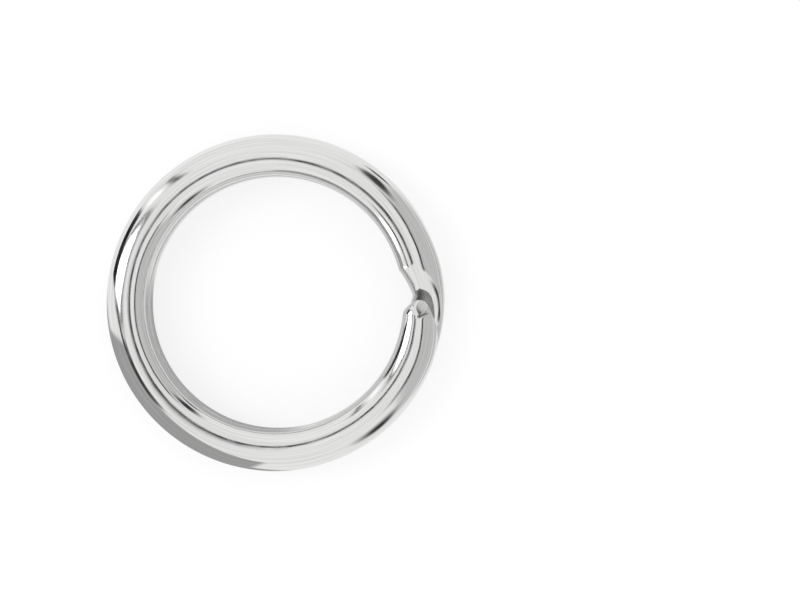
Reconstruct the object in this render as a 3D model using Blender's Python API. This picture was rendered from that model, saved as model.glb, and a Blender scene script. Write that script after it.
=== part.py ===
# A split key ring: one domed wire wound into two flat turns, joined by an S-shaped crossover.
# It lies flat on the XY plane with its axis on Z, and its split faces +X. Metres, +Z up.
# Half a turn over about X, at mid-height, carries the upper turn onto the lower one.

import math

import bmesh
import bpy
from mathutils import Matrix, Vector
from mathutils.bvhtree import BVHTree

MM = 0.001

# The ring and its wire
OUTER_DIAMETER = 12.0 * MM
WIRE_WIDTH = 1.45 * MM  # across the wire, along the ring's radius
FACE_HEIGHT = 0.58 * MM  # from the wire's widest line out to its domed face
FLAT_HEIGHT = 0.37 * MM  # from the widest line in to the flat that meets the other turn
FACE_POWER = 2.3  # 2 is an ellipse, and more is squarer
FLAT_POWER = 4.0
CROWN_INSET = 0.16  # how far the crown lies towards the hole, as a share of half the width
TURN_GAP = 0.10 * MM  # air between the two turns

# The crossover
CROSS_SPAN = 2.4 * MM  # its length along the wire
CROSS_WIDTH = 1.03 * MM  # the wire's width at the middle, drawn in from the ring's hole

# The two cut ends
END_WIDTH = 1.18 * MM  # the wire's width at its end, drawn in from the ring's rim
END_TAPER = 2.4 * MM  # the length that narrows
END_LEAN = math.radians(44)  # the cut's lean, so that the domed face reaches furthest
END_SKEW = math.radians(5)  # the cut's turn, so that its face shows from outside the ring
END_CLEARANCE = 0.05 * MM  # from the plane of a cut to the crossover beside it

# Where one stretch of the wire meets the next
SEAM_GAP = 0.02 * MM

# Fineness
QUARTER_POINTS = 5  # points on a quarter of the wire's section
TURN_STEP = math.radians(5)  # a turn's facets
CROSS_STEPS = 20

# The metal
SILVER = (0.80, 0.80, 0.79, 1.0)
SILVER_ROUGHNESS = 0.16

# What follows from the sizes
OUTER_RADIUS = OUTER_DIAMETER / 2
HOLE_RADIUS = OUTER_RADIUS - WIRE_WIDTH
WIRE_RADIUS = OUTER_RADIUS - WIRE_WIDTH / 2
WIRE_THICKNESS = FACE_HEIGHT + FLAT_HEIGHT
PITCH = WIRE_THICKNESS + TURN_GAP
LOWER_LEVEL = WIRE_THICKNESS / 2
UPPER_LEVEL = LOWER_LEVEL + PITCH
MID_LEVEL = LOWER_LEVEL + PITCH / 2
CROSS_ANGLE = CROSS_SPAN / 2 / WIRE_RADIUS
SEAM_ANGLE = SEAM_GAP / 2 / WIRE_RADIUS
TURN_OVER = (
    Matrix.Translation((0, 0, MID_LEVEL))
    @ Matrix.Rotation(math.pi, 4, "X")
    @ Matrix.Translation((0, 0, -MID_LEVEL))
)


def section(half_width, upper):
    """The wire's outline, as offsets from its centre. upper is 1 on the upper turn and 0 on the lower."""
    top = FLAT_HEIGHT + (FACE_HEIGHT - FLAT_HEIGHT) * upper
    bottom = WIRE_THICKNESS - top
    top_power = FLAT_POWER + (FACE_POWER - FLAT_POWER) * upper
    bottom_power = FACE_POWER + FLAT_POWER - top_power
    step = math.pi / 2 / QUARTER_POINTS
    outline = []
    for point in range(4 * QUARTER_POINTS):
        turn = (point + 0.5) * step
        across = math.cos(turn) / math.cos(step / 2)
        along = math.sin(turn) / math.cos(step / 2)
        height, power, dome = (top, top_power, upper) if along > 0 else (bottom, bottom_power, 1 - upper)
        inset = CROWN_INSET * dome * abs(along)
        radial = half_width * (math.copysign(abs(across) ** (2 / power), across) - inset)
        axial = height * math.copysign(abs(along) ** (2 / power), along)
        outline.append((radial, axial + (bottom - top) / 2))
    return outline


def at(radius, angle, level):
    return Vector((radius * math.cos(angle), radius * math.sin(angle), level))


def turned_half(start, sweep):
    """A stretch of the upper turn: the wire's section, spun about the ring's axis."""
    bm = bmesh.new()
    outline = section(WIRE_WIDTH / 2, 1.0)
    cap = bm.faces.new([bm.verts.new(at(WIRE_RADIUS + r, start, UPPER_LEVEL + z)) for r, z in outline])
    bmesh.ops.spin(
        bm,
        geom=[cap, *cap.edges, *cap.verts],
        cent=(0, 0, 0),
        axis=(0, 0, 1),
        angle=sweep,
        steps=round(sweep / TURN_STEP),
    )
    bmesh.ops.recalc_face_normals(bm, faces=bm.faces)
    return bm


def crossover():
    """The S-shaped stretch: sections that climb, neck in and turn their flat over, joined in a row."""
    bm = bmesh.new()
    loops = []
    for station in range(CROSS_STEPS + 1):
        run = 2 * station / CROSS_STEPS - 1
        climb = math.sin(run * math.pi / 2)
        slope = PITCH / CROSS_SPAN * math.pi / 2 * math.cos(run * math.pi / 2)
        tilt = math.atan(slope)
        neck = (1 + math.cos(run * math.pi)) / 2
        width = WIRE_WIDTH + (CROSS_WIDTH - WIRE_WIDTH) * neck
        level = MID_LEVEL + PITCH / 2 * climb
        loop = []
        for r, z in section(width / 2, (1 + climb) / 2):
            angle = run * CROSS_ANGLE - z * math.sin(tilt) / WIRE_RADIUS
            loop.append(bm.verts.new(at(OUTER_RADIUS - width / 2 + r, angle, level + z * math.cos(tilt))))
        loops.append(loop)
    for near, far in zip(loops, loops[1:]):
        for point in range(len(near)):
            bm.faces.new((near[point - 1], near[point], far[point], far[point - 1]))
    bm.faces.new(loops[0])
    bm.faces.new(loops[-1])
    bmesh.ops.recalc_face_normals(bm, faces=bm.faces)
    return bm


def fixed_half():
    """From the crossover to the far side of the ring."""
    start = CROSS_ANGLE + 2 * SEAM_ANGLE
    return turned_half(start, math.pi - SEAM_ANGLE - start)


def free_half(crossing):
    """From the far side of the ring to the cut end beside the crossover."""
    start = math.pi + SEAM_ANGLE
    bm = turned_half(start, math.tau + CROSS_ANGLE - start)
    narrow_end(bm)
    cut_end(bm, crossing)
    return bm


def narrow_end(bm):
    """Draws the rim side of the wire in towards the hole, over the end's taper."""
    taper_angle = END_TAPER / WIRE_RADIUS
    for vert in bm.verts:
        angle = math.pi + math.atan2(-vert.co.y, -vert.co.x) % math.tau
        run = min(max(1 + (angle - math.tau) / taper_angle, 0), 1)
        width = WIRE_WIDTH + (END_WIDTH - WIRE_WIDTH) * (1 - math.cos(run * math.pi)) / 2
        depth = (vert.co.xy.length - HOLE_RADIUS) / WIRE_WIDTH
        vert.co = at(HOLE_RADIUS + width * depth, angle, vert.co.z)


def cut_end(bm, crossing):
    """Cuts the wire off at a slant, clear of the part of the crossover that rises from the lower turn."""
    angle = -CROSS_ANGLE / 2
    along = at(1, angle + math.pi / 2, 0)
    out = at(1, angle, 0)
    normal = (along * math.cos(END_SKEW) + out * math.sin(END_SKEW)) * math.cos(END_LEAN)
    normal.z -= math.sin(END_LEAN)
    beside = [vert.co for vert in crossing.verts if vert.co.z > MID_LEVEL - TURN_GAP / 2]
    reach = min(normal.dot(point) for point in beside) - END_CLEARANCE
    bmesh.ops.bisect_plane(
        bm,
        geom=[*bm.verts, *bm.edges, *bm.faces],
        dist=1e-7,
        plane_co=normal * reach,
        plane_no=normal,
        clear_outer=True,
    )
    bmesh.ops.holes_fill(bm, edges=[edge for edge in bm.edges if edge.is_boundary])
    bmesh.ops.recalc_face_normals(bm, faces=bm.faces)


def turned_over(bm):
    """The same stretch of the lower turn."""
    lower = bm.copy()
    bmesh.ops.transform(lower, matrix=TURN_OVER, verts=lower.verts)
    return lower


def polished_metal(name):
    material = bpy.data.materials.new(name)
    material.use_nodes = True
    shader = material.node_tree.nodes["Principled BSDF"]
    shader.inputs["Base Color"].default_value = SILVER
    shader.inputs["Metallic"].default_value = 1.0
    shader.inputs["Roughness"].default_value = SILVER_ROUGHNESS
    return material


def add_hinge(name, level, parent, collection):
    """An empty on the wire's centre at the ring's far side, where the wire twists as the ring is opened."""
    hinge = bpy.data.objects.new(name, None)
    hinge.empty_display_size = WIRE_WIDTH
    hinge.parent = parent
    hinge.location = (-WIRE_RADIUS, 0, level) if parent is None else (0, 0, level - parent.location.z)
    collection.objects.link(hinge)
    return hinge


def add_piece(name, bm, hinge_level, hinge, collection):
    """A named object from a finished shape, with its origin on its hinge, or else on the ring's axis."""
    if hinge:
        bmesh.ops.translate(bm, vec=(WIRE_RADIUS, 0, -hinge_level), verts=bm.verts)
    mesh = bpy.data.meshes.new(name)
    bm.to_mesh(mesh)
    mesh.shade_smooth()
    mesh.set_sharp_from_angle(angle=math.radians(40))
    mesh.materials.append(polished_metal(name + "_metal"))
    piece = bpy.data.objects.new(name, mesh)
    piece.parent = hinge
    collection.objects.link(piece)
    return piece


def least_gap(one, other):
    """The least distance from the points of one shape to the faces of another."""
    tree = BVHTree.FromBMesh(other)
    return min(tree.find_nearest(vert.co)[3] for vert in one.verts)


def main():
    for old in list(bpy.data.objects):
        bpy.data.objects.remove(old)
    ring = bpy.data.collections.new("split_key_ring")
    bpy.context.scene.collection.children.link(ring)

    crossing = crossover()
    upper_fixed = fixed_half()
    upper_free = free_half(crossing)
    lower_fixed = turned_over(upper_fixed)
    lower_free = turned_over(upper_free)

    print("gap between the turns, mm:", round(least_gap(upper_free, lower_fixed) / MM, 3))
    print("gap from a cut end to the crossover, mm:", round(least_gap(upper_free, crossing) / MM, 3))
    print("gap from the crossover to the lower end, mm:", round(least_gap(crossing, lower_free) / MM, 3))

    # The lower free half stands, the middle of the wire lifts from it, and the upper free half lifts again
    lower_hinge = add_hinge("lower_turn_hinge", LOWER_LEVEL, None, ring)
    upper_hinge = add_hinge("upper_turn_hinge", UPPER_LEVEL, lower_hinge, ring)
    add_piece("lower_turn_free_half", lower_free, LOWER_LEVEL, None, ring)
    add_piece("lower_turn_fixed_half", lower_fixed, LOWER_LEVEL, lower_hinge, ring)
    add_piece("crossover", crossing, LOWER_LEVEL, lower_hinge, ring)
    add_piece("upper_turn_fixed_half", upper_fixed, LOWER_LEVEL, lower_hinge, ring)
    add_piece("upper_turn_free_half", upper_free, UPPER_LEVEL, upper_hinge, ring)


main()
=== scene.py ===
from math import atan2, copysign, cos, exp, log, pi, radians, sin, sqrt, tan, tau

import bpy
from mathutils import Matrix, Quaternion, Vector, noise


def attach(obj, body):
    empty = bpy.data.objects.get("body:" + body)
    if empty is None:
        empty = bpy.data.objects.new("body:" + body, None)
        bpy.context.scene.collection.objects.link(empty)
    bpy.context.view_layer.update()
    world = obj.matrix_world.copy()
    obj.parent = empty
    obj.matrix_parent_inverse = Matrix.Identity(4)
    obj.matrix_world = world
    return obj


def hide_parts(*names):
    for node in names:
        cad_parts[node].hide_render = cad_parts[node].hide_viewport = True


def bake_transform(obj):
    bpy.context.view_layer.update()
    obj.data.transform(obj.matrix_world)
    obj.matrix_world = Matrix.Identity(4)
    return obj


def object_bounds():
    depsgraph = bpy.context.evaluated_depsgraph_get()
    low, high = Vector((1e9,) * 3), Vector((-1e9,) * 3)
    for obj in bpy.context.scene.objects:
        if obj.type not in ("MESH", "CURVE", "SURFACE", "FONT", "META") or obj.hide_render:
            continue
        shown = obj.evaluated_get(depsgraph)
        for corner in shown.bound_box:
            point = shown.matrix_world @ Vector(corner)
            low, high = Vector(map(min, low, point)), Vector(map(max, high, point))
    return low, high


# split key ring, lying flat with its split at +X
# the wire is modelled in millimetres, then shrunk to metres
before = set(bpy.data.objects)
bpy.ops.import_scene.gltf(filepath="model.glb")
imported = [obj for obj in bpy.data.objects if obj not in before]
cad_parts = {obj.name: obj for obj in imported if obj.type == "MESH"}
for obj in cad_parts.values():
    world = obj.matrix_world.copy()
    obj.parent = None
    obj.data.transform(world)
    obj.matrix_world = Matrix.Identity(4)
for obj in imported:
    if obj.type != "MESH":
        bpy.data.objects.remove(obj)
cadLow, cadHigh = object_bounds()
mm = 0.001

wire = {
    "width": 1.45,  # along the ring's radius
    "faceHeight": 0.58,  # widest line out to the domed face
    "flatHeight": 0.37,  # widest line in to the flat that meets the other turn
    "facePower": 2.3,  # 2 is an ellipse, more is squarer
    "holePower": 2.6,  # the dome's hole side, flattened by the coiling
    "flatPower": 4.0,
    "crownInset": 0.07,  # crown nearer the hole, share of half the width
    "points": 96,  # round the section
    "finePoints": 720,  # to space those evenly
}
crossing = {
    "span": 2.4,  # along the wire
    "width": 1.115,  # necked at the middle, from the hole side
    "neckEase": 0.15, "neckRound": 0.05,  # shares of half the span
    "bulge": 0.05, "bulgeReach": radians(26),  # the rim stands out beside the split
}
# the two cut ends; lengths run along the wire, up to 0 at the crossing's middle
upperEnd = {
    "rimTaper": (-2.4, 0.0, 0.27),  # from, to, drawn in from the rim
    "holeTaper": (-0.74, -0.1, 0.5, 1.75),  # from, to, drawn in from the hole, power
    "tip": -0.03, "tipRadius": 5.15,
    "lean": tan(radians(44)),  # the dome reaches furthest
    "rimSlope": 1.12,  # the cut falls back towards the rim
}
lowerEnd = {
    "rimTaper": (-2.4, 0.0, 0.10),
    "holeTaper": (-1.1, -0.1, 0.44, 1.1),
    "tip": -0.10, "tipRadius": 5.30,
    "lean": tan(radians(42)),
    "rimSlope": 0.60,
}
cutEdge = {
    "blunt": 0.07, "softness": 0.03,
    "rounding": 0.02, "roundingSteps": 3,
    "searchBack": 0.5, "searchAhead": 0.1, "halvings": 40,  # how a cut is found, radians
}
tipFlat = {
    "from": (5.054, -0.79),  # crease over the dome, hole side
    "to": (5.373, -0.644),  # rim side
    "reachBack": 0.2,  # nothing changes further behind the crease
    "step": 0.016,
    "slope": tan(radians(12.5)), "fall": radians(50),  # downhill, as an azimuth
    "groove": 0.020,
    "grooveWidth": 0.038, "grooveEnds": 0.012,
    "softness": 0.016,
    "rise": 4, "lift": 0.1,  # behind the crease the flat is lifted off the dome
}
ripple = {"height": 0.0035, "perMm": 0.75, "fineHeight": 0.0008, "finePerMm": 2.6}
sweep = {
    "joinAngle": radians(200),  # free end takes over, past the twist at the far side
    "endLength": 2.0,  # finely stepped stretch before the cut
    "overrun": radians(-1.0),
    "step": radians(1.0), "fineStep": radians(0.06),
    "startSteps": 3, "joinSteps": 4,  # fine steps beside the two joins
    "crossSteps": 44, "endSteps": 120,
    "startRadius": 0.3,  # of the round section that takes the wire's shape
    "wholeTurn": tau - 1e-4,  # an angle past this is 0
    "lowerGrain": 40,  # sets the draw lines of the two turns apart
    "smoothAngle": radians(40),
}

outerRadius = (cadHigh.y - cadLow.y) / 2 / mm
wireRadius = outerRadius - wire["width"] / 2
holeRadius = outerRadius - wire["width"]
thickness = wire["faceHeight"] + wire["flatHeight"]
upperLevel = (cadHigh.z - cadLow.z) / mm - thickness / 2
midLevel = (cadHigh.z - cadLow.z) / mm / 2
crownLevel = upperLevel + thickness / 2
pitch = 2 * (upperLevel - midLevel)
crossAngle = crossing["span"] / 2 / wireRadius
endStart = tau - sweep["endLength"] / wireRadius
endStop = tau + sweep["overrun"]


def sectionPoints(halfWidth, upper):
    # evenly spaced outline of the wire; upper is 1 on the upper turn, 0 on the lower
    top = wire["flatHeight"] + (wire["faceHeight"] - wire["flatHeight"]) * upper
    bottom = thickness - top
    topPower = wire["flatPower"] + (wire["facePower"] - wire["flatPower"]) * upper
    bottomPower = wire["facePower"] + wire["flatPower"] - topPower
    fine = []
    for k in range(wire["finePoints"] + 1):
        turn = tau * k / wire["finePoints"]
        across, along = cos(turn), sin(turn)
        if k in (0, wire["finePoints"]):
            along = 0.0
        if along > 0:
            height, power, dome = top, topPower, upper
        else:
            height, power, dome = bottom, bottomPower, 1 - upper
        if across < 0:
            power += (wire["holePower"] - wire["facePower"]) * dome
        inset = wire["crownInset"] * dome * abs(along)
        radial = halfWidth * (copysign(abs(across) ** (2 / power), across) - inset)
        axial = height * copysign(abs(along) ** (2 / power), along) + (bottom - top) / 2
        fine.append((radial, axial))
    runs = [0.0]
    for one, other in zip(fine, fine[1:]):
        runs.append(runs[-1] + sqrt((one[0] - other[0]) ** 2 + (one[1] - other[1]) ** 2))
    points, k = [], 0
    for j in range(wire["points"]):
        run = runs[-1] * j / wire["points"]
        while runs[k + 1] < run:
            k += 1
        share = (run - runs[k]) / (runs[k + 1] - runs[k])
        points.append(tuple(a + (b - a) * share for a, b in zip(fine[k], fine[k + 1])))
    return points


turnSection = sectionPoints(wire["width"] / 2, 1.0)
sectionCache = {}


def neckShare(run):
    # sets in softly, then narrows evenly to the middle
    rest = 1 - sqrt(run * run + crossing["neckRound"] ** 2)
    ease = crossing["neckEase"]
    eased = rest * rest / (2 * ease) if rest < ease else rest - ease / 2
    return eased / (1 - crossing["neckRound"] - ease / 2)


def crossingSection(angle):
    # climbs from the ring's mid-height, necked in on the hole side; upright sections
    key = round(angle, 6)
    if key not in sectionCache:
        run = angle / crossAngle
        climb = sin(run * pi / 2)
        slope = pitch / crossing["span"] * pi / 2 * cos(run * pi / 2)
        width = wire["width"] + (crossing["width"] - wire["width"]) * neckShare(run)
        level = midLevel + pitch / 2 * climb
        tall = sqrt(1 + slope * slope)
        sectionCache[key] = [
            (outerRadius - width / 2 + r, level + z * tall)
            for r, z in sectionPoints(width / 2, (1 + climb) / 2)
        ]
    return sectionCache[key]


def noseRadius(radius, along, end):
    # both sides of the wire come in towards the tip
    begin, stop, depth = end["rimTaper"]
    run = min(max((along - begin) / (stop - begin), 0), 1)
    rim = outerRadius - depth * (1 - cos(run * pi)) / 2
    begin, stop, depth, power = end["holeTaper"]
    run = min(max((along - begin) / (stop - begin), 0), 1)
    hole = holeRadius + depth * run ** power
    return hole + (rim - hole) * (radius - holeRadius) / wire["width"]


def bulged(radius, angle):
    run = min(min(angle, abs(tau - angle)) / crossing["bulgeReach"], 1)
    rimShare = min(max((radius - holeRadius) / wire["width"], 0), 1)
    return radius + crossing["bulge"] * (1 + cos(run * pi)) / 2 * rimShare ** 2


def wirePoint(angle, j, end):
    # a point on the upper turn; the crossing is its first stretch and the free end its last
    if angle < crossAngle:
        radius, z = crossingSection(angle)[j]
    else:
        r, z = turnSection[j]
        radius, z = noseRadius(wireRadius + r, (angle - tau) * wireRadius, end), upperLevel + z
    radius = bulged(radius, angle)
    return Vector((radius * cos(angle), radius * sin(angle), z))


def turnedOver(p):
    return Vector((p.x, -p.y, 2 * midLevel - p.z))


def softMin(a, b, softness):
    low = min(a, b)
    return low - softness * log(exp((low - a) / softness) + exp((low - b) / softness))


def cutAngleAt(j, end):
    # where the wire's line j meets the slanted cut
    low, high = tau - cutEdge["searchBack"], tau + cutEdge["searchAhead"]
    for k in range(cutEdge["halvings"]):
        middle = (low + high) / 2
        p = wirePoint(middle, j, end)
        outwards = p.xy.length - end["tipRadius"]
        back = (crownLevel - p.z) * end["lean"] + end["rimSlope"] * max(outwards, 0)
        if (middle - tau) * wireRadius > end["tip"] - back:
            high = middle
        else:
            low = middle
    return low


def cutAngles(end):
    # the sharp tip is blunted
    angles = [cutAngleAt(j, end) for j in range(wire["points"])]
    tip = max(angles) - cutEdge["blunt"] / wireRadius
    angles = [softMin(a, tip, cutEdge["softness"] / wireRadius) for a in angles]
    print("cut end from", round((min(angles) - tau) * wireRadius, 3),
          "to", round((max(angles) - tau) * wireRadius, 3), "mm")
    return angles


upperCut, lowerCut = cutAngles(upperEnd), cutAngles(lowerEnd)

creaseFrom, creaseTo = Vector(tipFlat["from"]), Vector(tipFlat["to"])
creaseAhead = Vector((creaseFrom.y - creaseTo.y, creaseTo.x - creaseFrom.x)).normalized()
creaseMiddle, creaseHalf = (creaseFrom + creaseTo) / 2, (creaseTo - creaseFrom).length / 2
flatFall = Vector((cos(tipFlat["fall"]), sin(tipFlat["fall"])))


def flattenedTip(p):
    # a pressed flat on the dome, from a crease to the tip; also how deep in the crease it is
    ahead = (p.xy - creaseMiddle).dot(creaseAhead)
    if p.y > 0 or p.x < 0 or ahead < -tipFlat["reachBack"] or p.z < upperLevel:
        return p, 0.0
    aside = (p.xy - creaseMiddle).dot(creaseTo - creaseFrom) / (2 * creaseHalf)
    crease = exp(-(ahead / tipFlat["grooveWidth"]) ** 2)
    crease /= 1 + exp((abs(aside) - creaseHalf) / tipFlat["grooveEnds"])
    rise = 1 / (1 + exp(-tipFlat["rise"] * ahead / tipFlat["grooveWidth"]))
    ceiling = crownLevel - tipFlat["step"] - tipFlat["slope"] * flatFall.dot(p.xy - creaseMiddle)
    z = softMin(p.z, ceiling + tipFlat["lift"] * (1 - rise), tipFlat["softness"])
    return Vector((p.x, p.y, z - tipFlat["groove"] * crease)), crease


def rippled(p, centre):
    # polished by tumbling, so never quite even
    height = ripple["height"] * noise.noise(p * ripple["perMm"])
    height += ripple["fineHeight"] * noise.noise(p * ripple["finePerMm"])
    return p + (p - centre).normalized() * height


def deselectAll():
    if bpy.context.object and bpy.context.object.mode != "OBJECT":
        bpy.ops.object.mode_set(mode="OBJECT")
    bpy.ops.object.select_all(action="DESELECT")


def selectOnly(piece):
    deselectAll()
    piece.select_set(True)
    bpy.context.view_layer.objects.active = piece


def sweepWire(name, start, stops):
    # a round section, spun about the ring's axis from stop to stop
    deselectAll()
    bpy.ops.mesh.primitive_circle_add(
        vertices=wire["points"], radius=sweep["startRadius"], fill_type="NGON",
        location=(wireRadius * cos(start), wireRadius * sin(start), 0),
        rotation=(pi / 2, 0, start))
    piece = bpy.context.object
    piece.name = piece.data.name = name
    bpy.ops.object.transform_apply(location=True, rotation=True, scale=True)
    bpy.ops.object.mode_set(mode="EDIT")
    bpy.ops.mesh.select_all(action="SELECT")
    angle = start
    for stop, steps in stops:
        bpy.ops.mesh.spin(steps=steps, angle=stop - angle, center=(0, 0, 0), axis=(0, 0, -1))
        angle = stop
    bpy.ops.object.mode_set(mode="OBJECT")
    return piece


def shapeWire(piece, lower):
    # each ring of points takes the wire's own section at its place
    mesh = piece.data
    mesh.attributes.new("grain", "FLOAT_VECTOR", "POINT")
    mesh.attributes.new("crease", "FLOAT", "POINT")
    grain, creased = mesh.attributes["grain"], mesh.attributes["crease"]
    end, cut = (lowerEnd, lowerCut) if lower else (upperEnd, upperCut)
    grainStart = sweep["lowerGrain"] if lower else 0
    for vert in mesh.vertices:
        angle = atan2(vert.co.y, vert.co.x) % tau
        if angle > sweep["wholeTurn"]:
            angle = 0.0
        turn = atan2(vert.co.z, vert.co.xy.length - wireRadius) % tau
        j = round(turn / tau * wire["points"]) % wire["points"]
        if angle > endStart:
            share = (angle - endStart) / (endStop - endStart)
            angle = endStart + (cut[j] - endStart) * share
        p = wirePoint(angle, j, end)
        centre = Vector((wireRadius * cos(angle), wireRadius * sin(angle), upperLevel))
        if angle < crossAngle:
            centre.z = midLevel + pitch / 2 * sin(angle / crossAngle * pi / 2)
        if angle > endStart:
            # the crease weight also darkens the colour there: painted shade in the crease
            p, creased.data[vert.index].value = flattenedTip(p)
        if lower:
            p, centre = turnedOver(p), turnedOver(centre)
        vert.co = rippled(p, centre)
        around = tau * j / wire["points"]
        grain.data[vert.index].vector = (cos(around), sin(around), angle * wireRadius + grainStart)


def cutFace(piece):
    # of the two caps, the one at the split, towards +X
    caps = [face for face in piece.data.polygons if len(face.vertices) > 4]
    return max(caps, key=lambda face: face.center.to_2d().normalized().x)


def roundCutRim(piece, cutIndex):
    selectOnly(piece)
    bpy.ops.object.mode_set(mode="EDIT")
    bpy.ops.mesh.select_mode(type="FACE")
    bpy.ops.mesh.select_all(action="DESELECT")
    bpy.ops.object.mode_set(mode="OBJECT")
    piece.data.polygons[cutIndex].select = True
    bpy.ops.object.mode_set(mode="EDIT")
    bpy.ops.mesh.region_to_loop()
    bpy.ops.mesh.bevel(offset=cutEdge["rounding"], segments=cutEdge["roundingSteps"],
                       affect="EDGES", clamp_overlap=True)
    bpy.ops.object.mode_set(mode="OBJECT")


def finishWire(piece):
    selectOnly(piece)
    piece.scale = (mm, mm, mm)
    bpy.ops.object.transform_apply(location=True, rotation=True, scale=True)
    bpy.ops.object.mode_set(mode="EDIT")
    bpy.ops.mesh.select_all(action="SELECT")
    bpy.ops.mesh.normals_make_consistent(inside=False)
    bpy.ops.object.mode_set(mode="OBJECT")
    bpy.ops.object.shade_smooth_by_angle(angle=sweep["smoothAngle"])


def turnPiece(name, lower):
    # from the crossing's middle to past the far side
    join = sweep["joinAngle"]
    piece = sweepWire(name, 0.0, [
        (sweep["startSteps"] * sweep["fineStep"], sweep["startSteps"]),
        (crossAngle, sweep["crossSteps"]),
        (join - sweep["joinSteps"] * sweep["fineStep"], round((join - crossAngle) / sweep["step"])),
        (join, sweep["joinSteps"]),
    ])
    shapeWire(piece, lower)
    finishWire(piece)
    return piece


def endPiece(name, lower):
    # from past the far side to the cut
    join = sweep["joinAngle"]
    piece = sweepWire(name, join, [
        (join + sweep["joinSteps"] * sweep["fineStep"], sweep["joinSteps"]),
        (endStart, round((endStart - join) / sweep["step"])),
        (endStop, sweep["endSteps"]),
    ])
    shapeWire(piece, lower)
    cut = cutFace(piece)
    cut.material_index = 1
    roundCutRim(piece, cut.index)
    finishWire(piece)
    return piece


# materials
def emptyMaterial(name):
    material = bpy.data.materials.new(name)
    material.use_nodes = True
    nodes, links = material.node_tree.nodes, material.node_tree.links
    nodes.clear()
    return material, nodes, links, nodes.new("ShaderNodeOutputMaterial")


def metalMaterial(name):
    material, nodes, links, output = emptyMaterial(name)
    shader = nodes.new("ShaderNodeBsdfPrincipled")
    shader.inputs["Metallic"].default_value = 1.0
    links.new(shader.outputs["BSDF"], output.inputs["Surface"])
    return material, nodes, links, shader


def stretchedNoise(nodes, links, place, scale, detail):
    stretch = nodes.new("ShaderNodeMapping")
    stretch.inputs["Scale"].default_value = scale
    links.new(place, stretch.inputs["Vector"])
    texture = nodes.new("ShaderNodeTexNoise")
    texture.inputs["Scale"].default_value = 1.0
    texture.inputs["Detail"].default_value = detail
    links.new(stretch.outputs["Vector"], texture.inputs["Vector"])
    return texture


def addBump(nodes, links, texture, shader, strength, height):
    bump = nodes.new("ShaderNodeBump")
    bump.inputs["Strength"].default_value = strength
    bump.inputs["Distance"].default_value = height
    links.new(texture.outputs["Fac"], bump.inputs["Height"])
    links.new(bump.outputs["Normal"], shader.inputs["Normal"])


polish = {
    "dark": (0.65, 0.65, 0.645, 1), "light": (0.81, 0.81, 0.805, 1), "toneSpan": (0.3, 0.7),
    # near black for the tip's crease: painted shade
    "crease": (0.03, 0.03, 0.03, 1),
    "smooth": 0.07, "rough": 0.15, "glossSpan": (0.35, 0.75),
    "lineScale": (11.0, 11.0, 0.22), "lineDetail": 3.0, "lineRoughness": 0.6,
    "lineStrength": 1.0, "lineHeight": 0.0000006,
    "scuffScale": (3.0, 3.0, 1.4), "scuffDetail": 4.0,
}


def wireMetal():
    # draw lines along the wire, scuffs across its gloss, painted shade darkening the crease
    material, nodes, links, shader = metalMaterial("polishedWire")
    grain = nodes.new("ShaderNodeAttribute")
    grain.attribute_name = "grain"
    along = grain.outputs["Vector"]
    lines = stretchedNoise(nodes, links, along, polish["lineScale"], polish["lineDetail"])
    lines.inputs["Roughness"].default_value = polish["lineRoughness"]
    scuffs = stretchedNoise(nodes, links, along, polish["scuffScale"], polish["scuffDetail"])

    tone = nodes.new("ShaderNodeValToRGB")
    tones = zip(tone.color_ramp.elements, polish["toneSpan"], (polish["dark"], polish["light"]))
    for element, position, color in tones:
        element.position, element.color = position, color
    links.new(lines.outputs["Fac"], tone.inputs["Fac"])
    # the crease weight blends the base colour to near black: painted shade in the crease
    crease = nodes.new("ShaderNodeAttribute")
    crease.attribute_name = "crease"
    creaseShade = nodes.new("ShaderNodeMix")
    creaseShade.data_type = "RGBA"
    creaseShade.inputs[7].default_value = polish["crease"]
    links.new(crease.outputs["Fac"], creaseShade.inputs[0])
    links.new(tone.outputs["Color"], creaseShade.inputs[6])
    links.new(creaseShade.outputs[2], shader.inputs["Base Color"])

    gloss = nodes.new("ShaderNodeMapRange")
    gloss.inputs["From Min"].default_value = polish["glossSpan"][0]
    gloss.inputs["From Max"].default_value = polish["glossSpan"][1]
    gloss.inputs["To Min"].default_value = polish["smooth"]
    gloss.inputs["To Max"].default_value = polish["rough"]
    links.new(scuffs.outputs["Fac"], gloss.inputs["Value"])
    links.new(gloss.outputs["Result"], shader.inputs["Roughness"])
    addBump(nodes, links, lines, shader, polish["lineStrength"], polish["lineHeight"])
    return material


sheared = {
    "dark": (0.27, 0.27, 0.265, 1), "light": (0.58, 0.58, 0.57, 1),
    "roughness": 0.34,
    "streakScale": (9000.0, 9000.0, 1400.0), "streakDetail": 3.0,
    "streakStrength": 0.6, "streakHeight": 0.000004,
}


def cutMetal():
    material, nodes, links, shader = metalMaterial("shearedEnd")
    place = nodes.new("ShaderNodeTexCoord").outputs["Object"]
    streaks = stretchedNoise(nodes, links, place, sheared["streakScale"], sheared["streakDetail"])
    tone = nodes.new("ShaderNodeMix")
    tone.data_type = "RGBA"
    tone.inputs[6].default_value = sheared["dark"]
    tone.inputs[7].default_value = sheared["light"]
    links.new(streaks.outputs["Fac"], tone.inputs[0])
    links.new(tone.outputs[2], shader.inputs["Base Color"])
    addBump(nodes, links, streaks, shader, sheared["streakStrength"], sheared["streakHeight"])
    shader.inputs["Roughness"].default_value = sheared["roughness"]
    return material


polishedWire, shearedEnd = wireMetal(), cutMetal()


def dress(piece):
    piece.data.materials.append(polishedWire)
    piece.data.materials.append(shearedEnd)


upperTurn = turnPiece("upperTurn", False)
upperFreeEnd = endPiece("upperFreeEnd", False)
lowerTurn = turnPiece("lowerTurn", True)
lowerFreeEnd = endPiece("lowerFreeEnd", True)
for piece in (upperTurn, upperFreeEnd, lowerTurn, lowerFreeEnd):
    dress(piece)
    print("made", piece.name, len(piece.data.vertices), "points")

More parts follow.
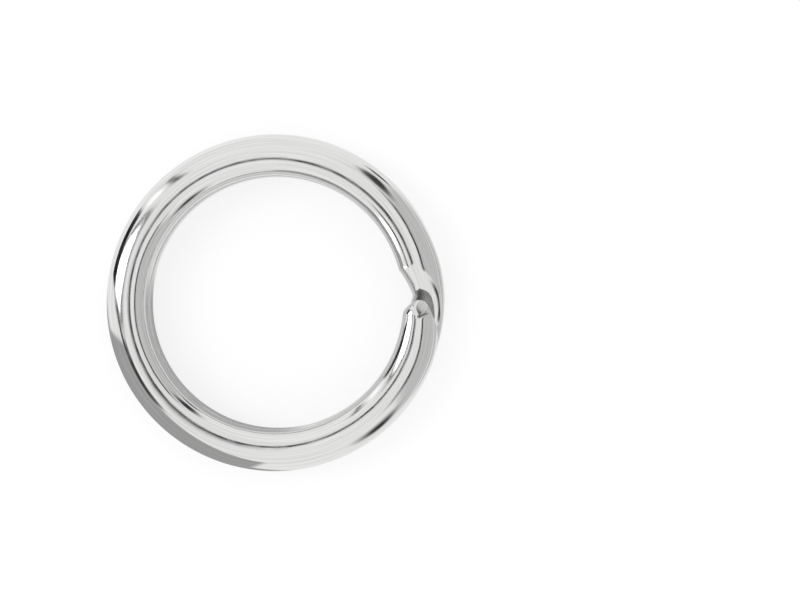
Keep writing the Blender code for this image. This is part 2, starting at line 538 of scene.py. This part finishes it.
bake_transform(upperTurn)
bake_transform(lowerTurn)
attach(upperFreeEnd, "upper_end")
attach(lowerFreeEnd, "lower_end")
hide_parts("upper_turn_fixed_half", "crossover")
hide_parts("upper_turn_free_half")
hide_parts("lower_turn_fixed_half")
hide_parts("lower_turn_free_half")
print("wire on its bodies")

# floor, light and cards
scene = bpy.context.scene
scene.view_settings.view_transform = "Standard"

floorLook = {"size": 0.9, "color": (0.92, 0.92, 0.92, 1), "ownShare": 0.3, "white": 1.04}


def addMath(nodes, links, operation, one, other):
    node = nodes.new("ShaderNodeMath")
    node.operation = operation
    links.new(one, node.inputs[0])
    if isinstance(other, float):
        node.inputs[1].default_value = other
    else:
        links.new(other, node.inputs[1])
    return node.outputs[0]


def mixSurfaces(nodes, links, share, one, other, output):
    mix = nodes.new("ShaderNodeMixShader")
    links.new(share, mix.inputs["Fac"])
    links.new(one, mix.inputs[1])
    links.new(other, mix.inputs[2])
    links.new(mix.outputs["Shader"], output.inputs["Surface"])


def floorMaterial():
    # mostly white where it is seen, with the rest of it taking the ring's shadow
    material, nodes, links, output = emptyMaterial("paleFloor")
    diffuse = nodes.new("ShaderNodeBsdfDiffuse")
    diffuse.inputs["Color"].default_value = floorLook["color"]
    glow = nodes.new("ShaderNodeEmission")
    glow.inputs["Strength"].default_value = floorLook["white"]
    path = nodes.new("ShaderNodeLightPath").outputs
    seen = addMath(nodes, links, "MAXIMUM", path["Is Camera Ray"], path["Is Glossy Ray"])
    seen = addMath(nodes, links, "MAXIMUM", seen, path["Is Transmission Ray"])
    share = addMath(nodes, links, "MULTIPLY", seen, 1 - floorLook["ownShare"])
    mixSurfaces(nodes, links, share, diffuse.outputs["BSDF"], glow.outputs["Emission"], output)
    return material


deselectAll()
bpy.ops.mesh.primitive_plane_add(size=floorLook["size"], location=(0, 0, cadLow.z))
floor = bpy.context.object
floor.name = "floor"
floor.data.materials.append(floorMaterial())

world = bpy.data.worlds.new("paleRoom")
scene.world = world
world.use_nodes = True
world.node_tree.nodes["Background"].inputs["Color"].default_value = (1, 1, 1, 1)
world.node_tree.nodes["Background"].inputs["Strength"].default_value = 1.0


def direction(azimuth, polar):
    # from the ring, in degrees; polar is measured from straight up
    azimuth, polar = radians(azimuth), radians(polar)
    return Vector((sin(polar) * cos(azimuth), sin(polar) * sin(azimuth), cos(polar)))


def softPaper(name, tone, soft, oval):
    # an even card that fades out at its edges
    material, nodes, links, output = emptyMaterial(name + "Paper")
    place = nodes.new("ShaderNodeTexCoord")
    centred = nodes.new("ShaderNodeVectorMath")
    centred.operation = "MULTIPLY_ADD"
    centred.inputs[1].default_value, centred.inputs[2].default_value = (2, 2, 0), (-1, -1, 0)
    links.new(place.outputs["UV"], centred.inputs[0])
    if oval:
        reach = nodes.new("ShaderNodeVectorMath")
        reach.operation = "LENGTH"
        links.new(centred.outputs["Vector"], reach.inputs[0])
        sides = [(reach.outputs["Value"], soft[0])]
    else:
        apart = nodes.new("ShaderNodeSeparateXYZ")
        links.new(centred.outputs["Vector"], apart.inputs[0])
        sides = []
        for axis, share in zip("XY", soft):
            size = nodes.new("ShaderNodeMath")
            size.operation = "ABSOLUTE"
            links.new(apart.outputs[axis], size.inputs[0])
            sides.append((size.outputs[0], share))
    cover = None
    for side, share in sides:
        fade = nodes.new("ShaderNodeMapRange")
        fade.interpolation_type = "SMOOTHSTEP"
        fade.inputs["From Min"].default_value = 1 - share
        fade.inputs["To Min"].default_value, fade.inputs["To Max"].default_value = 1, 0
        links.new(side, fade.inputs["Value"])
        faded = fade.outputs["Result"]
        cover = faded if cover is None else addMath(nodes, links, "MULTIPLY", cover, faded)
    grey = min(tone, 1)
    glow = nodes.new("ShaderNodeEmission")
    glow.inputs["Color"].default_value = (grey, grey, grey, 1)
    glow.inputs["Strength"].default_value = max(tone, 1)
    clear = nodes.new("ShaderNodeBsdfTransparent")
    mixSurfaces(nodes, links, cover, clear.outputs["BSDF"], glow.outputs["Emission"], output)
    return material


def addCard(name, place, facing, size, tone, soft, oval=False, turn=0.0):
    # a card round the ring that only the metal mirrors, in millimetres
    deselectAll()
    bpy.ops.mesh.primitive_plane_add(size=1, location=Vector(place) * mm)
    card = bpy.context.object
    card.name = name
    card.rotation_mode = "QUATERNION"
    spin = Quaternion((0, 0, 1), radians(turn))
    card.rotation_quaternion = facing.to_track_quat("Z", "Y") @ spin
    card.scale = (size[0] * mm, size[1] * mm, 1)
    card.data.materials.append(softPaper(name, tone, soft, oval))
    card.visible_camera = card.visible_diffuse = card.visible_shadow = False
    card.visible_transmission = card.visible_volume_scatter = False


def spread(degreesWide, distance):
    return 2 * distance * tan(radians(degreesWide) / 2)


# name, azimuth, polar angle, degrees wide and tall, tone, soft edges, oval, turn
farCards = [
    ("patchNear", 52.6, 46, 15, 44, 0.02, (0.6, 0.6), True, 0),
    ("patchNearLow", 51.6, 84, 16, 24, 0.05, (0.7, 0.7), True, 0),
    ("patchFar", 303, 66, 29, 52, 0.02, (0.85, 0.85), True, 0),
    ("lampFoot", 158, 72, 25, 30, 0.02, (0.15, 0.25), False, -8),
    ("lampSide", 131, 50, 5, 46, 0.15, (0.8, 0.5), False, 0),
    ("overhead", 181, 6.6, 8, 8, 0.02, (0.45, 0.45), True, 0),
    ("overheadFaint", 204, 9.5, 8, 9, 0.4, (0.7, 0.7), True, 0),
    ("lampSurround", 166, 40, 25, 50, 0.2, (0.25, 0.25), True, 0),
    ("lowLamp", 204, 63, 11, 56, 3.0, (0.08, 0.08), True, 0),
    ("rightBar", 0, 15, 42, 9, 0.02, (0.4, 0.6), False, 0),
    ("lowLampTop", 201, 29, 13, 10, 0.02, (0.3, 0.4), False, 0),
    ("sideLamp", 140, 55, 9, 44, 1.3, (0.6, 0.6), True, 0),
]
farDistance = {"first": 150, "step": 3}  # each card stands behind the one before
for k, (name, azimuth, polar, wide, tall, tone, soft, oval, turn) in enumerate(farCards):
    far = farDistance["first"] + farDistance["step"] * k
    way = direction(azimuth, polar)
    addCard(name, way * far, way, (spread(wide, far), spread(tall, far)), tone, soft, oval, turn)

# cards beside the ring, and papers just over the floor
sideways, up = Vector((1, 0, 0)), Vector((0, 0, 1))
leftWay, leftTopWay = direction(223, 90), direction(192, 90)
rightDistance, paperHeight = 220, 0.03
addCard("rightCard", (rightDistance, 0, 340), sideways,
        (spread(100, rightDistance), 680), 0.65, (0.25, 0.06))
addCard("rightFloor", (19, 0, paperHeight), up, (26, 30), 0.62, (0.3, 0.3), True)
# a grey paper over the floor inside the hole, seen only in the metal: painted shade of the floor
# within the ring
addCard("holeFloorShade", (0, 0, paperHeight), up, (8.9, 8.9), 0.72, (0.08, 0.08), True)
addCard("leftCard", leftWay * 8 + up * 2.0, leftWay, (12.0, 8.2), 0.42, (0.12, 0.06), False, -10)
addCard("leftFloor", leftWay * 7.2 + up * paperHeight, up, (12.4, 13), 0.42, (0.2, 0.2), True)
addCard("leftCardTop", leftTopWay * 9 + up * 7.4, leftWay, (9, 2.2), 0.05, (0.25, 0.5), False, -20)

lamp = {"azimuth": 166, "polar": 40, "distance": 0.15, "wide": 15, "tall": 34, "brightness": 4.0}
lampData = bpy.data.lights.new("lamp", "AREA")
lampData.shape = "ELLIPSE"
lampData.size = spread(lamp["wide"], lamp["distance"])
lampData.size_y = spread(lamp["tall"], lamp["distance"])
lampData.energy = lamp["brightness"] * pi * (pi / 4 * lampData.size * lampData.size_y)
lampObject = bpy.data.objects.new("lamp", lampData)
lampWay = direction(lamp["azimuth"], lamp["polar"])
lampObject.location = lampWay * lamp["distance"]
lampObject.rotation_euler = lampWay.to_track_quat("Z", "Y").to_euler()
lampObject.visible_camera = False
scene.collection.objects.link(lampObject)

# straight down, a little to the right of the ring
cameraPlace = {
    "at": (4.437, -0.139, 49.3), "roll": radians(-3),
    "lens": 60.5, "sensor": 36, "clip": (0.001, 2),
}
cameraData = bpy.data.cameras.new("camera")
cameraData.sensor_width = cameraPlace["sensor"]
cameraData.lens = cameraPlace["lens"]
cameraData.clip_start, cameraData.clip_end = cameraPlace["clip"]
camera = bpy.data.objects.new("camera", cameraData)
camera.location = Vector(cameraPlace["at"]) * mm
camera.rotation_euler = (0, 0, cameraPlace["roll"])
scene.collection.objects.link(camera)
scene.camera = camera
print("floor, light and camera placed")
